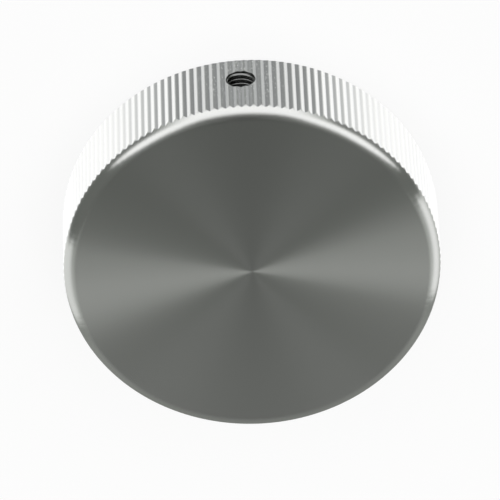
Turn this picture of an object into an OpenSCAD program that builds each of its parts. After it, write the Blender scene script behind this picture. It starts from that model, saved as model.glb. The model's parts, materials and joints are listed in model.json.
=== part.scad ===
// Control knob turned from aluminium bar: a solid disc with a straight-knurled grip and a rounded
// front edge, clamped to a round shaft by a set screw in a tapped hole through its side.
// It stands on its back face with the front face up, and the set screw's hole opens towards -Y.

/* [Body] */
// Diameter over the knurl's crests
knob_d = 38; // [28:0.5:60]
// Height from the back face to the front face
knob_h = 10; // [8:0.5:20]
// Radius of the rounded front edge
edge_r = 1.25; // [0.5:0.05:2]
// Chamfer round the back edge
back_chamfer = 0.3; // [0.1:0.05:0.8]

/* [Knurl] */
// Number of straight grooves round the grip
groove_count = 150; // [60:1:180]
// Depth of a groove below the crests
groove_depth = 0.08; // [0.04:0.01:0.2]
// Angle between a groove's two flanks
groove_angle = 155; // [120:1:165]

/* [Shaft bore] */
// Diameter of the shaft that the knob fits
shaft_d = 6; // [4:0.05:8]
// Gap between the shaft and the bore, on the radius
shaft_gap = 0.05; // [0.05:0.01:0.2]
// Chamfer round the bore's mouth
mouth_chamfer = 0.4; // [0.2:0.1:1]
// Metal left between the drill's point and the front face
front_wall = 1.2; // [0.8:0.1:3]
// Angle of the drill's point at the bore's blind end
drill_angle = 118; // [100:1:140]

/* [Set screw] */
// Nominal diameter of the screw's thread and of its hole
thread_d = 3; // [2.5:0.5:4]
// Gap between the screw and its hole, on the radius
thread_gap = 0.05; // [0.02:0.01:0.1]
// Height of the hole's centre line above the back face
hole_z = 3.85; // [2.5:0.05:5]
// Length of the screw
screw_l = 6; // [4:0.5:8]
// Distance that the slackened screw stands back from the bore
tip_gap = 0.15; // [0.1:0.05:1]
// Hexagon socket, across its flats
socket_af = 1.5; // [1.3:0.1:1.6]
// Depth of the hexagon socket
socket_depth = 2; // [1:0.1:2.5]
// Diameter of the cup point's rim
cup_d = 1.4; // [0.8:0.1:1.8]
// Angle of the hollow inside the cup point
cup_angle = 118; // [90:1:130]
// Chamfer round the socket end
screw_chamfer = 0.25; // [0.1:0.05:0.3]

/* [Hidden] */
$fn = 96;

// How far a cutting shape runs past the face that it opens
cut = 0.5;

knob_r = knob_d / 2;

// Each groove's root and the crest beside it are half a step apart
half_step = 180 / groove_count;
flank_angle = groove_angle / 2;
root_r = knob_r - groove_depth;
// Radius at which the flanks of two neighbouring grooves would meet, outside the crests
apex_r = root_r * sin(flank_angle) / sin(flank_angle - half_step);

bore_r = shaft_d / 2 + shaft_gap;
drill_point_h = bore_r / tan(drill_angle / 2);
bore_depth = knob_h - front_wall - drill_point_h;

hole_r = thread_d / 2;
screw_r = hole_r - thread_gap;
cup_r = cup_d / 2;
cup_depth = cup_r / tan(cup_angle / 2);
// The point tapers at 45 degrees from the thread to the cup's rim
point_h = screw_r - cup_r;

// Section of the disc, spun round its axis: rounded at the front edge, chamfered at the back
module turned_blank() {
    rotate_extrude()
        difference() {
            square([knob_r, knob_h]);
            translate([knob_r - edge_r, knob_h - edge_r])
                difference() {
                    square(edge_r + cut);
                    circle(edge_r);
                }
            translate([knob_r, 0])
                rotate(45)
                    square(back_chamfer * sqrt(2), center = true);
        }
}

// Toothed prism with a shallow V groove at every step, the first one towards -Y. Its points stand
// outside the blank, so what the two share keeps the blank's round crests, and each groove runs
// out in a scallop where the front edge rounds away from it
module knurl_prism() {
    translate([0, 0, -cut])
        rotate(-90)
            linear_extrude(knob_h + 2 * cut)
                polygon([
                    for (i = [0 : 2 * groove_count - 1])
                        (i % 2 == 0 ? root_r : apex_r) * [cos(i * half_step), sin(i * half_step)]
                ]);
}

// Blind hole for the shaft: chamfered mouth, straight wall, drill point
module shaft_bore() {
    rotate_extrude()
        polygon([
            [0, -cut],
            [bore_r + mouth_chamfer + cut, -cut],
            [bore_r, mouth_chamfer],
            [bore_r, bore_depth],
            [0, bore_depth + drill_point_h]
        ]);
}

// Tapped hole from the side into the shaft bore, plain at the thread's outer diameter
module screw_hole() {
    translate([0, 0, hole_z])
        rotate([90, 0, 0])
            cylinder(r = hole_r, h = knob_r + cut);
}

module knob_body() {
    color("silver")
        difference() {
            intersection() {
                turned_blank();
                knurl_prism();
            }
            shaft_bore();
            screw_hole();
        }
}

// Headless screw with a cup point towards the shaft and a hexagon socket towards the side
module set_screw() {
    color("dimgray")
        translate([0, -bore_r - tip_gap, hole_z])
            rotate([90, 0, 0])
                difference() {
                    rotate_extrude()
                        polygon([
                            [0, cup_depth],
                            [cup_r, 0],
                            [screw_r, point_h],
                            [screw_r, screw_l - screw_chamfer],
                            [screw_r - screw_chamfer, screw_l],
                            [0, screw_l]
                        ]);
                    translate([0, 0, screw_l - socket_depth])
                        cylinder(d = socket_af / cos(30), h = socket_depth + cut, $fn = 6);
                }
}

knob_body();
set_screw();
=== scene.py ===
import json
import math
import bmesh
import bpy
from mathutils import Matrix, Quaternion, Vector


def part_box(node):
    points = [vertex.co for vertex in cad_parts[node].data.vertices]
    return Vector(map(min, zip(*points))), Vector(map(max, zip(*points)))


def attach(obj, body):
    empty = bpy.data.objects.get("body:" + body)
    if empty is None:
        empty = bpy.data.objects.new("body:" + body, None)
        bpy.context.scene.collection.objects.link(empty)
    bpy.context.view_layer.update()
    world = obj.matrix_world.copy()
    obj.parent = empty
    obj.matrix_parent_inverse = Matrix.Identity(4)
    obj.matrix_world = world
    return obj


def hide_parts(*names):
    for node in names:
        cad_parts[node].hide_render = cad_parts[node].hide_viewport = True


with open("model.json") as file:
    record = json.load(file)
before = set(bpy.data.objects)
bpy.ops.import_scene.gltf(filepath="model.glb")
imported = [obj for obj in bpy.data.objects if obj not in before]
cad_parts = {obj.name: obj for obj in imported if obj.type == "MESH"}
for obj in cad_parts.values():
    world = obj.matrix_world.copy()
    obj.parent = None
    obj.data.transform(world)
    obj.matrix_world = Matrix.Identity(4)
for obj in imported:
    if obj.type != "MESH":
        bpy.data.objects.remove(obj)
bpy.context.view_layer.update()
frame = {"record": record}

# Knob body. A disc of aluminium bar, faced and rounded at its front edge on a lathe, straight-knurled
# round its side, and bored from the back for the shaft. The front, side, back and bore are one skin
# of columns: each column is the disc's section at one angle, cut down where a groove runs.
MM = 0.001
body_low, body_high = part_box("knob_body")
knob_r = (body_high.x - body_low.x) / 2
knob_h = body_high.z
edge_r = 1.25 * MM
back_chamfer = 0.3 * MM
edge_rows = 14
# Rows this close to an edge keep the flat beside it flat in the shading
edge_support = 0.03 * MM

groove_count = 150
groove_depth = 0.08 * MM
groove_angle = math.radians(155)
corner_break = 0.014 * MM
root_width = 0.03 * MM
flank_columns = 4
groove_step = 2 * math.pi / groove_count
flank_angle = groove_angle / 2
root_r = knob_r - groove_depth
# Angles from a groove's middle to the edge of its root, and to the edge of the crest beside it
root_half = root_width / (2 * root_r)
crest_from = flank_angle - math.asin(root_r * math.sin(flank_angle) / knob_r)

shaft_bore = next(m for m in frame["record"]["mounts"] if m["name"] == "shaft_bore")
bore_r = shaft_bore["dims"]["r_mm"] * MM
mouth_chamfer = 0.4 * MM
bore_depth = mouth_chamfer + shaft_bore["dims"]["length_mm"] * MM
drill_half_angle = math.radians(59)

TURNED, KNURLED, DRILLED, TAPPED = range(4)


def grip_radius(angle):
    """Radius of the knurl at an angle from the nearest groove's middle: its flank, or the crest."""
    on_flank = max(abs(angle), root_half / 2)
    if on_flank >= crest_from:
        return knob_r
    return root_r * math.sin(flank_angle) / math.sin(flank_angle - on_flank)


def knob_section(grip_r):
    """The disc's section as (radius, height, finish), from the front face to the bore's end."""
    run_out = math.acos(1 - (knob_r - grip_r) / edge_r)
    section = [(knob_r - edge_r - edge_support, knob_h, TURNED)]
    for row in range(edge_rows + 1):
        lean = math.pi / 2 + (run_out - math.pi / 2) * row / edge_rows
        section.append((
            knob_r - edge_r + edge_r * math.cos(lean),
            knob_h - edge_r + edge_r * math.sin(lean),
            TURNED,
        ))
    side_top = section[-1][1]
    side_foot = back_chamfer - (knob_r - grip_r)
    section += [
        (grip_r, side_top - edge_support, KNURLED),
        (grip_r, side_foot + edge_support, KNURLED),
        (grip_r, side_foot, KNURLED),
        (knob_r - back_chamfer, 0, TURNED),
        (bore_r + mouth_chamfer, 0, TURNED),
        (bore_r, mouth_chamfer, DRILLED),
        (bore_r, bore_depth, DRILLED),
    ]
    return section


def new_piece(name, points, faces):
    mesh = bpy.data.meshes.new(name)
    mesh.from_pydata(points, [], faces)
    piece = bpy.data.objects.new(name, mesh)
    bpy.context.scene.collection.objects.link(piece)
    return piece


def skin(name, rows, first_tip, last_tip):
    """A closed skin over rings of points, with a point at each end. Ring i's faces are numbered i."""
    count = len(rows[0])
    points = [first_tip, *(point for row in rows for point in row), last_tip]
    faces = []
    ring_of_face = []
    for column in range(count):
        across = (column + 1) % count
        faces.append((0, 1 + column, 1 + across))
        ring_of_face.append(0)
        for ring in range(len(rows) - 1):
            near = 1 + ring * count
            far = near + count
            faces.append((near + column, far + column, far + across, near + across))
            ring_of_face.append(ring + 1)
        last = 1 + (len(rows) - 1) * count
        faces.append((len(points) - 1, last + across, last + column))
        ring_of_face.append(len(rows))
    piece = new_piece(name, points, faces)
    return piece, ring_of_face


corner = corner_break / knob_r
flank_span = crest_from - corner - root_half
flank = [root_half + flank_span * i / flank_columns for i in range(flank_columns + 1)]
other_flank = [-angle for angle in reversed(flank)]
groove_angles = (
    -crest_from - corner, *other_flank, 0, *flank, crest_from + corner, groove_step / 2,
)
columns = []
for groove in range(groove_count):
    # The first groove runs over the set screw's hole, towards -Y
    root_angle = -math.pi / 2 + groove * groove_step
    for angle in groove_angles:
        direction = (math.cos(root_angle + angle), math.sin(root_angle + angle))
        columns.append([
            (r * direction[0], r * direction[1], z)
            for r, z, _ in knob_section(grip_radius(angle))
        ])
knob_rows = list(zip(*columns))
row_finish = [finish for _, _, finish in knob_section(knob_r)] + [DRILLED]
knob_body, ring_of_face = skin(
    "knob_body_metal", knob_rows, (0, 0, knob_h),
    (0, 0, bore_depth + bore_r / math.tan(drill_half_angle)),
)
knob_body.data.polygons.foreach_set("material_index", [row_finish[ring] for ring in ring_of_face])


# Tapped hole. A 3 mm metric thread cut from the knob's side through to the shaft bore, in a core hole
# drilled wide, with a plain mouth that leads the screw in. Both shapes are taken out of the body.
hole_r = 1.5 * MM
thread_pitch = 0.5 * MM
hole_thread_depth = 0.16 * MM
mouth_depth = 0.25 * MM
hole_height = (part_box("set_screw")[0].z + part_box("set_screw")[1].z) / 2
# A thread's crest is an eighth of its pitch wide and lies at the same place in every pitch, so that
# screw and hole fit. Its flanks lean by this angle, and more where their edge is broken at the foot
crest_share = 1 / 8
crest_place = 0.73
flank_lean = math.radians(30)
broken_lean = math.radians(37)
broken_depth = 0.06 * MM
thread_columns = 64
# Points nearer than this are one point, where a cut leaves two
weld_gap = 0.0002 * MM
body_sharp_angle = math.radians(14)
hole_axis = Matrix.Translation((0, 0, hole_height)) @ Matrix.Rotation(math.pi / 2, 4, "X")


def threaded_rod(name, crest_radius, thread_depth, turns):
    """A right-hand screw along +Z from the knob's axis, closed at both ends."""
    broken_share = broken_depth * math.tan(broken_lean) / thread_pitch
    flank_share = (thread_depth - broken_depth) * math.tan(flank_lean) / thread_pitch
    # Distances from the crest's middle, as shares of the pitch, and the share of the thread's depth
    half_profile = (
        (crest_share / 2, 1),
        (crest_share / 2 + flank_share, broken_depth / thread_depth),
        (crest_share / 2 + flank_share + broken_share, 0),
    )
    thread_profile = [(crest_place - away, share) for away, share in reversed(half_profile)]
    thread_profile += [(crest_place + away, share) for away, share in half_profile]
    profile_rows = len(thread_profile)
    row_count = turns * profile_rows + 1
    points = []
    for row in range(row_count):
        along, share = thread_profile[row % profile_rows]
        radius = crest_radius - thread_depth * (1 - share)
        for column in range(thread_columns):
            turn = column / thread_columns
            height = thread_pitch * (row // profile_rows + along + turn)
            spin = turn * 2 * math.pi
            points.append((radius * math.cos(spin), radius * math.sin(spin), height))

    def corner_at(row, column):
        """A turn's end is the start of the next turn, one pitch on."""
        if column == thread_columns:
            return corner_at(row + profile_rows, 0)
        return row * thread_columns + column

    faces = []
    for row in range(row_count - 1):
        for column in range(thread_columns):
            if column == thread_columns - 1 and row + 1 + profile_rows >= row_count:
                continue
            faces.append((
                corner_at(row, column), corner_at(row, column + 1),
                corner_at(row + 1, column + 1), corner_at(row + 1, column),
            ))
    last = row_count - 1
    end_rows = range(last - 1, last - profile_rows - 1, -1)
    start_loop = [corner_at(0, column) for column in range(thread_columns)]
    start_loop += [corner_at(row, 0) for row in range(profile_rows, 0, -1)]
    end_loop = [corner_at(last, column) for column in range(thread_columns)]
    end_loop += [corner_at(row, thread_columns - 1) for row in end_rows]
    points += [(0, 0, thread_pitch / 2), (0, 0, thread_pitch * (turns + 0.5))]
    start_tip, end_tip = len(points) - 2, len(points) - 1
    for loop, tip, turned in ((start_loop, start_tip, True), (end_loop, end_tip, False)):
        for here, there in zip(loop, loop[1:] + loop[:1]):
            faces.append((tip, there, here) if turned else (tip, here, there))
    return new_piece(name, points, faces)


def lathe_rows(section, count):
    """Rings of points round +Z, one for each (radius, height) of a section."""
    turn = 2 * math.pi / count
    return [
        [(radius * math.cos(i * turn), radius * math.sin(i * turn), height) for i in range(count)]
        for radius, height in section
    ]


def combine(piece, tool, operation):
    """Cuts piece with tool, or keeps what they share, and deletes the tool."""
    cut = piece.modifiers.new("cut", "BOOLEAN")
    cut.operation = operation
    cut.solver = "EXACT"
    cut.material_mode = "INDEX"
    cut.object = tool
    bpy.context.view_layer.update()
    done = bpy.data.meshes.new_from_object(piece.evaluated_get(bpy.context.evaluated_depsgraph_get()))
    weld = bmesh.new()
    weld.from_mesh(done)
    bmesh.ops.remove_doubles(weld, verts=weld.verts, dist=weld_gap)
    bmesh.ops.dissolve_degenerate(weld, edges=weld.edges, dist=weld_gap)
    weld.to_mesh(done)
    weld.free()
    piece.modifiers.clear()
    piece.data = done
    bpy.data.objects.remove(tool)


def cut_hole(tool):
    """Takes a tool out of the body along the hole's axis. What it leaves has the thread's finish."""
    tool.data.polygons.foreach_set("material_index", [TAPPED] * len(tool.data.polygons))
    tool.matrix_world = hole_axis
    combine(knob_body, tool, "DIFFERENCE")


def smooth_between_edges(piece, sharp_angle):
    piece.data.shade_smooth()
    piece.data.set_sharp_from_angle(angle=sharp_angle)


tap_turns = math.ceil(knob_r / thread_pitch) + 1
cut_hole(threaded_rod("tap", hole_r, hole_thread_depth, tap_turns))
mouth_floor = knob_r - mouth_depth
mouth_top = knob_r + mouth_depth
mouth, _ = skin(
    "mouth", lathe_rows(((hole_r, mouth_top), (hole_r, mouth_floor)), thread_columns),
    (0, 0, mouth_top), (0, 0, mouth_floor),
)
cut_hole(mouth)
smooth_between_edges(knob_body, body_sharp_angle)


# Finish of the body. Bare aluminium: the turned face and edge spread light across their fine rings, and
# the rolled knurl has faint marks along its grooves, whose roots are darker with painted shade. The
# bore is duller, as the drill left it, and the thread, torn by the tap, is mottled and dark with
# painted shade.
class Shade:
    """One shader socket. Sums and products with other sockets or with numbers add Math nodes."""

    def __init__(self, tree, socket=None):
        self.tree = tree
        self.socket = socket

    def node(self, kind, settings, sockets, output=0):
        made = self.tree.nodes.new(kind)
        for name, setting in settings.items():
            setattr(made, name, setting)
        for name, value in sockets.items():
            if isinstance(value, Shade):
                self.tree.links.new(value.socket, made.inputs[name])
            else:
                made.inputs[name].default_value = value
        return Shade(self.tree, made.outputs[output] if made.outputs else None)

    def maths(self, operation, *values):
        return self.node("ShaderNodeMath", {"operation": operation}, dict(enumerate(values)))

    def ramp(self, start, end):
        """0 before start and 1 after end, with a smooth change between."""
        limits = {"Value": self, "From Min": start, "From Max": end}
        return self.node("ShaderNodeMapRange", {"interpolation_type": "SMOOTHSTEP"}, limits)

    def span(self, low, high):
        """Runs from low to high as this socket runs from 0 to 1."""
        return low + (high - low) * self

    def __add__(self, other):
        return self.maths("ADD", self, other)

    def __mul__(self, other):
        return self.maths("MULTIPLY", self, other)

    def __sub__(self, other):
        return self.maths("SUBTRACT", self, other)

    def __rsub__(self, other):
        return self.maths("SUBTRACT", other, self)

    def __pow__(self, power):
        return self.maths("POWER", self, power)

    __radd__ = __add__
    __rmul__ = __mul__


def bare_metal(name):
    """A metal material, with its shader and a first Shade in its tree."""
    material = bpy.data.materials.new(name)
    material.use_nodes = True
    shader = material.node_tree.nodes["Principled BSDF"]
    shader.inputs["Metallic"].default_value = 1
    return material, shader, Shade(material.node_tree)


def feed(shader, socket, shade):
    shade.tree.links.new(shade.socket, shader.inputs[socket])


def tint(share, dark, light):
    """A colour between two, by a share from 0 to 1."""
    colours = {0: share, 6: (*dark, 1), 7: (*light, 1)}
    return share.node("ShaderNodeMix", {"data_type": "RGBA"}, colours, 2)


def object_place(shade):
    return shade.node("ShaderNodeTexCoord", {}, {}, "Object")


def axis_distance(shade):
    """How far a point lies from the knob's axis."""
    in_plan = {0: object_place(shade), 1: (1, 1, 0)}
    flat = shade.node("ShaderNodeVectorMath", {"operation": "MULTIPLY"}, in_plan)
    return shade.node("ShaderNodeVectorMath", {"operation": "LENGTH"}, {0: flat}, "Value")


def mottle(place, width, detail):
    """Noise from 0 to 1, in patches of about this width."""
    return place.node("ShaderNodeTexNoise", {}, {"Vector": place, "Scale": 1 / width, "Detail": detail})


ring_light = (0.843, 0.848, 0.833)
ring_dark = (0.817, 0.822, 0.807)
ring_roughness = (0.201, 0.214)
ring_width = 0.2 * MM
# A quarter of a turn stretches the gleam along the radius, across the rings
gleam_turn = 0.25
turned, shader, shade = bare_metal("turned_aluminium")
shader.inputs["Anisotropic"].default_value = 1
shader.inputs["Anisotropic Rotation"].default_value = gleam_turn
rings = shade.node("ShaderNodeTexNoise", {"noise_dimensions": "1D"}, {
    "W": axis_distance(shade), "Scale": 1 / ring_width, "Detail": 3, "Roughness": 0.6,
})
feed(shader, "Base Color", tint(rings, ring_dark, ring_light))
feed(shader, "Roughness", rings.span(*ring_roughness))

# The crest colour, and a darker root colour that is painted shade in the grooves
crest_aluminium = (0.86, 0.865, 0.85)
root_shaded_aluminium = (0.82, 0.825, 0.82)
knurl_roughness = (0.16, 0.26)
# The knurling wheel's marks are drawn out along the grooves
drag_width = 0.3 * MM
drag_stretch = 0.06
drag_contrast = (0.9, 1.1)
crest_limit = knob_r - 0.1 * groove_depth
knurled, shader, shade = bare_metal("knurled_aluminium")
place = object_place(shade)
stretched = {0: place, 1: (1, 1, drag_stretch)}
drag = mottle(shade.node("ShaderNodeVectorMath", {"operation": "MULTIPLY"}, stretched), drag_width, 3)
# Painted shade: the colour darkens towards the groove roots, mixed with the random drag marks
groove_shade_share = axis_distance(shade).ramp(root_r, crest_limit)
shade_and_drag_share = groove_shade_share * drag.span(*drag_contrast)
feed(shader, "Base Color", tint(shade_and_drag_share, root_shaded_aluminium, crest_aluminium))
feed(shader, "Roughness", drag.span(*knurl_roughness))
# A few small bruises lie beside the hole
bruise_size = 0.22 * MM
bruise_depth = 0.03 * MM
bruise_reach = (2 * MM, 5.5 * MM)
bruise_limits = (0.66, 0.74)
hole_ends = {0: place, 1: (0, -knob_r, hole_height)}
from_hole = shade.node("ShaderNodeVectorMath", {"operation": "DISTANCE"}, hole_ends, "Value")
knocks = mottle(place, bruise_size, 1)
bruises = knocks.ramp(*bruise_limits) * (1 - from_hole.ramp(*bruise_reach))
feed(shader, "Normal", shade.node("ShaderNodeBump", {"invert": True}, {
    "Strength": 1, "Distance": bruise_depth, "Height": bruises,
}))

bore_light = (0.80, 0.805, 0.79)
bore_dark = (0.55, 0.555, 0.545)
bore_roughness = (0.25, 0.45)
chatter_width = 0.2 * MM
drilled, shader, shade = bare_metal("drilled_aluminium")
chatter = mottle(object_place(shade), chatter_width, 3)
feed(shader, "Base Color", tint(chatter, bore_dark, bore_light))
feed(shader, "Roughness", chatter.span(*bore_roughness))

# The thread's dark colour is painted shade in the hole. Its mottle is random
shaded_thread_light = (0.38, 0.385, 0.38)
shaded_thread_dark = (0.22, 0.225, 0.222)
thread_roughness = (0.17, 0.25)
tapped, shader, shade = bare_metal("tapped_aluminium")
tear = mottle(object_place(shade), chatter_width, 3)
feed(shader, "Base Color", tint(tear, shaded_thread_dark, shaded_thread_light))
feed(shader, "Roughness", tear.span(*thread_roughness))

for material in (turned, knurled, drilled, tapped):
    knob_body.data.materials.append(material)
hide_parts("knob_body")
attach(knob_body, "root")


# Set screw. A headless steel screw with a cup point towards the shaft and a broached hexagon socket
# towards the side, rolled thread, black-oxide finish. It is turned into the tapped hole from outside.
screw_low, screw_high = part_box("set_screw")
screw_r = (screw_high.x - screw_low.x) / 2
screw_l = screw_high.y - screw_low.y
screw_tip = -screw_high.y
screw_end = screw_tip + screw_l
cup_r = 0.7 * MM
cup_depth = cup_r / math.tan(drill_half_angle)
screw_chamfer = 0.25 * MM
screw_thread_depth = 0.27 * MM
screw_sharp_angle = math.radians(24)
screw_section = (
    (cup_r, screw_tip),
    (screw_r, screw_tip + screw_r - cup_r),
    (screw_r, screw_end - screw_chamfer),
    (screw_r - screw_chamfer, screw_end),
)
set_screw, _ = skin(
    "set_screw_steel", lathe_rows(screw_section, thread_columns)[::-1],
    (0, 0, screw_end), (0, 0, screw_tip + cup_depth),
)
screw_turns = math.ceil(screw_end / thread_pitch) + 1
combine(set_screw, threaded_rod("screw_thread", screw_r, screw_thread_depth, screw_turns), "INTERSECT")

socket_sides = 6
socket_flats = 1.5 * MM
socket_depth = 2 * MM
# The lead-in opens the socket by this much at the screw's end, and runs as far past the end as inside
socket_lead = 0.12 * MM
socket_r = socket_flats / math.sqrt(3)
socket_floor = screw_end - socket_depth
# The socket ends in a shallow point, half as high as a drill's
socket_point = socket_r / math.tan(drill_half_angle) / 2
socket_section = (
    (socket_r + socket_lead * 2, screw_end + socket_lead),
    (socket_r, screw_end - socket_lead),
    (socket_r, socket_floor),
)
socket, _ = skin(
    "socket", lathe_rows(socket_section, socket_sides), (0, 0, screw_end + socket_lead),
    (0, 0, socket_floor - socket_point),
)
combine(set_screw, socket, "DIFFERENCE")
smooth_between_edges(set_screw, screw_sharp_angle)
set_screw.data.transform(hole_axis)

oxide_light = (0.13, 0.13, 0.135)
oxide_dark = (0.06, 0.06, 0.065)
oxide_roughness = (0.3, 0.5)
oxide_patch = 0.5 * MM
black_steel, shader, shade = bare_metal("black_oxide_steel")
oxide = mottle(object_place(shade), oxide_patch, 4)
feed(shader, "Base Color", tint(oxide, oxide_dark, oxide_light))
feed(shader, "Roughness", oxide.span(*oxide_roughness))
set_screw.data.materials.append(black_steel)
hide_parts("set_screw")
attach(set_screw, "root")


# Floor. A plain white sheet under the knob, which the camera sees as white with a soft shadow. The
# metal shows the studio's own white paper in its place, darker close to the knob.
floor_reach = 1.2
paper_white = (0.9, 0.9, 0.9, 1)
paper_glow = 0.85
floor = new_piece(
    "floor",
    [(x * floor_reach, y * floor_reach, 0) for x, y in ((-1, -1), (1, -1), (1, 1), (-1, 1))],
    [(0, 1, 2, 3)],
)


def light_seen(shade, *rays):
    """1 for light on its way along any of these kinds of ray, 0 for other light."""
    seen = shade.node("ShaderNodeLightPath", {}, {}, rays[0])
    for ray in rays[1:]:
        seen = shade.maths("MAXIMUM", seen, shade.node("ShaderNodeLightPath", {}, {}, ray))
    return seen


paper = bpy.data.materials.new("white_paper")
paper.use_nodes = True
paper.node_tree.nodes.clear()
shade = Shade(paper.node_tree)
seen = light_seen(shade, "Is Camera Ray", "Is Glossy Ray", "Is Transmission Ray")
matt = shade.node("ShaderNodeBsdfDiffuse", {}, {"Color": paper_white})
white = shade.node("ShaderNodeEmission", {}, {"Strength": 1})
sheet = shade.node("ShaderNodeMixShader", {}, {0: paper_glow * seen, 1: matt, 2: white})
shade.node("ShaderNodeOutputMaterial", {}, {"Surface": sheet})
floor.data.materials.append(paper)
floor.visible_glossy = False


# Light. A white studio with a dim room round it: a wide wall before the knob, a soft box on each side
# behind it, white paper below, a soft lamp overhead that lights the floor, and a weak lamp over the far
# half of the face. The camera sees white.
room_level = 0.063
side_level = 0.085
far_level = 0.17
wall_level = 1.04
paper_level = 1.02
left_box_level = 0.63
right_box_level = 0.78
room_grey = (0.945, 1, 0.92)
paper_grey = (0.955, 1, 1)
# Limits in degrees: bearings run round the knob from -Y towards +X, heights run up from the floor
side_bearings = (40, 150)
far_bearings = (130, 146)
far_heights = (10, 60)
wall_bearings = (-81, 70)
wall_top = (40, 58)
wall_top_rise = 12
wall_turns_dark = (20, 50)
dark_horizon_top = (4, 18)
paper_end = (-50, -36)
paper_shadow = (12, 76)
paper_shadow_share = 0.785
left_box_bearings = (108, 137)
right_box_bearings = (97, 136)
left_box_foot = (-60, -40)
right_box_foot = (-58, 4)
# Each box is bright up to its top and glows on above it. Higher up it leans further back
box_top = (28, 43)
glow_top = (55, 64)
glow_share = 0.38
box_lean = 30
box_lean_height = 54
box_lean_power = 3.3
room_softness = 25
lamp_softness = 3

world = bpy.data.worlds.new("studio")
bpy.context.scene.world = world
world.use_nodes = True
world.node_tree.nodes.clear()
shade = Shade(world.node_tree)
sight = shade.node("ShaderNodeTexCoord", {}, {}, "Generated")
x, y, z = (shade.node("ShaderNodeSeparateXYZ", {}, {0: sight}, axis) for axis in range(3))
bearing = x.maths("DEGREES", x.maths("ARCTAN2", x, y * -1))
height = z.maths("DEGREES", z.maths("ARCSINE", z))


def between(angle, limits, soft):
    """1 between two limits and 0 outside them, with a soft change at each."""
    low, high = limits
    return angle.ramp(low - soft, low + soft) * (1 - angle.ramp(high - soft, high + soft))


turn_away = bearing.maths("ABSOLUTE", bearing)
above_paper = height.ramp(*paper_end)
aside = turn_away.ramp(*wall_turns_dark)
wall_shade = above_paper * (1 - aside * (1 - height.ramp(*dark_horizon_top)))
wall_end = 1 - (height - wall_top_rise * aside).ramp(*wall_top)
front_wall = between(bearing, wall_bearings, lamp_softness) * wall_end * wall_shade
box_end = (1 - glow_share) * (1 - height.ramp(*box_top)) + glow_share * (1 - height.ramp(*glow_top))
box_rise = height.maths("MAXIMUM", height, 0) * (1 / box_lean_height)
lean_back = box_lean * box_rise ** box_lean_power
left_box_span = between(bearing - lean_back, left_box_bearings, lamp_softness)
left_box = left_box_span * box_end * height.ramp(*left_box_foot)
right_box_span = between(bearing * -1 - lean_back, right_box_bearings, lamp_softness)
right_box = right_box_span * box_end * height.ramp(*right_box_foot)
far_side = turn_away.ramp(*far_bearings) * (1 - height.ramp(*far_heights))
near_shadow = 1 - turn_away.ramp(*paper_shadow)
paper_below = (1 - above_paper) * (1 - paper_shadow_share * near_shadow)
level = (
    room_level
    + side_level * between(turn_away, side_bearings, room_softness)
    + far_level * far_side
    + wall_level * front_wall
    + paper_level * paper_below
    + left_box_level * left_box
    + right_box_level * right_box
)
# What is dim has the room's own grey, and what is bright is white
plain_white = (1, 1, 1, 1)
grey = tint(above_paper, paper_grey, room_grey)
cast = shade.node("ShaderNodeMix", {"data_type": "RGBA"}, {0: level, 6: grey, 7: plain_white}, 2)
seen = light_seen(shade, "Is Camera Ray", "Is Transmission Ray")
studio = shade.node("ShaderNodeBackground", {}, {"Color": cast, "Strength": level})
white = shade.node("ShaderNodeBackground", {}, {"Color": plain_white, "Strength": 1})
backdrop = shade.node("ShaderNodeMixShader", {}, {0: seen, 1: studio, 2: white})
shade.node("ShaderNodeOutputWorld", {}, {"Surface": backdrop})


def area_lamp(name, width, depth, radiance, place, facing_from):
    """A flat lamp of one brightness, which shines away from the direction it faces from."""
    lamp = bpy.data.objects.new(name, bpy.data.lights.new(name, "AREA"))
    lamp.data.shape = "RECTANGLE"
    lamp.data.size = width
    lamp.data.size_y = depth
    lamp.data.energy = radiance * math.pi * width * depth
    lamp.location = place
    lamp.rotation_euler = Vector(facing_from).to_track_quat("Z", "Y").to_euler()
    bpy.context.scene.collection.objects.link(lamp)
    return lamp


overhead_width = 0.6
overhead_height = 0.6
overhead_radiance = 1.95
overhead = area_lamp(
    "overhead", overhead_width, overhead_width, overhead_radiance, (0, 0, overhead_height), (0, 0, 1),
)
overhead.visible_glossy = False

far_lamp_width = 0.12
far_lamp_depth = 0.05
far_lamp_radiance = 0.07
far_lamp_place = (0, 0.059, 0.055)
far_lamp_from = (0, 0.545, 0.839)
far_lamp = area_lamp(
    "far_lamp", far_lamp_width, far_lamp_depth, far_lamp_radiance, far_lamp_place, far_lamp_from,
)
far_lamp.visible_camera = False


# Camera. It looks down on the front from the set screw's side through a long lens, turned so that the
# side with the screw hole is at the top of the picture.
picture_pixels = 500
focal_pixels = 7400
view_distance = 742 * MM
nearest_seen = 10 * MM
view_bearing = math.radians(-1.15)
view_height = math.radians(57.4)
view_roll = math.radians(177.6)
aim = Vector((0.1 * MM, -2.6 * MM, knob_h))
towards_eye = Vector((
    math.cos(view_height) * math.sin(view_bearing),
    -math.cos(view_height) * math.cos(view_bearing),
    math.sin(view_height),
))
camera = bpy.data.objects.new("camera", bpy.data.cameras.new("camera"))
camera.data.lens = camera.data.sensor_width * focal_pixels / picture_pixels
camera.data.clip_start = nearest_seen
camera.location = aim + towards_eye * view_distance
upright = towards_eye.to_track_quat("Z", "Y")
camera.rotation_euler = (upright @ Quaternion((0, 0, 1), view_roll)).to_euler()
bpy.context.scene.collection.objects.link(camera)
bpy.context.scene.camera = camera
bpy.context.scene.view_settings.view_transform = "Standard"
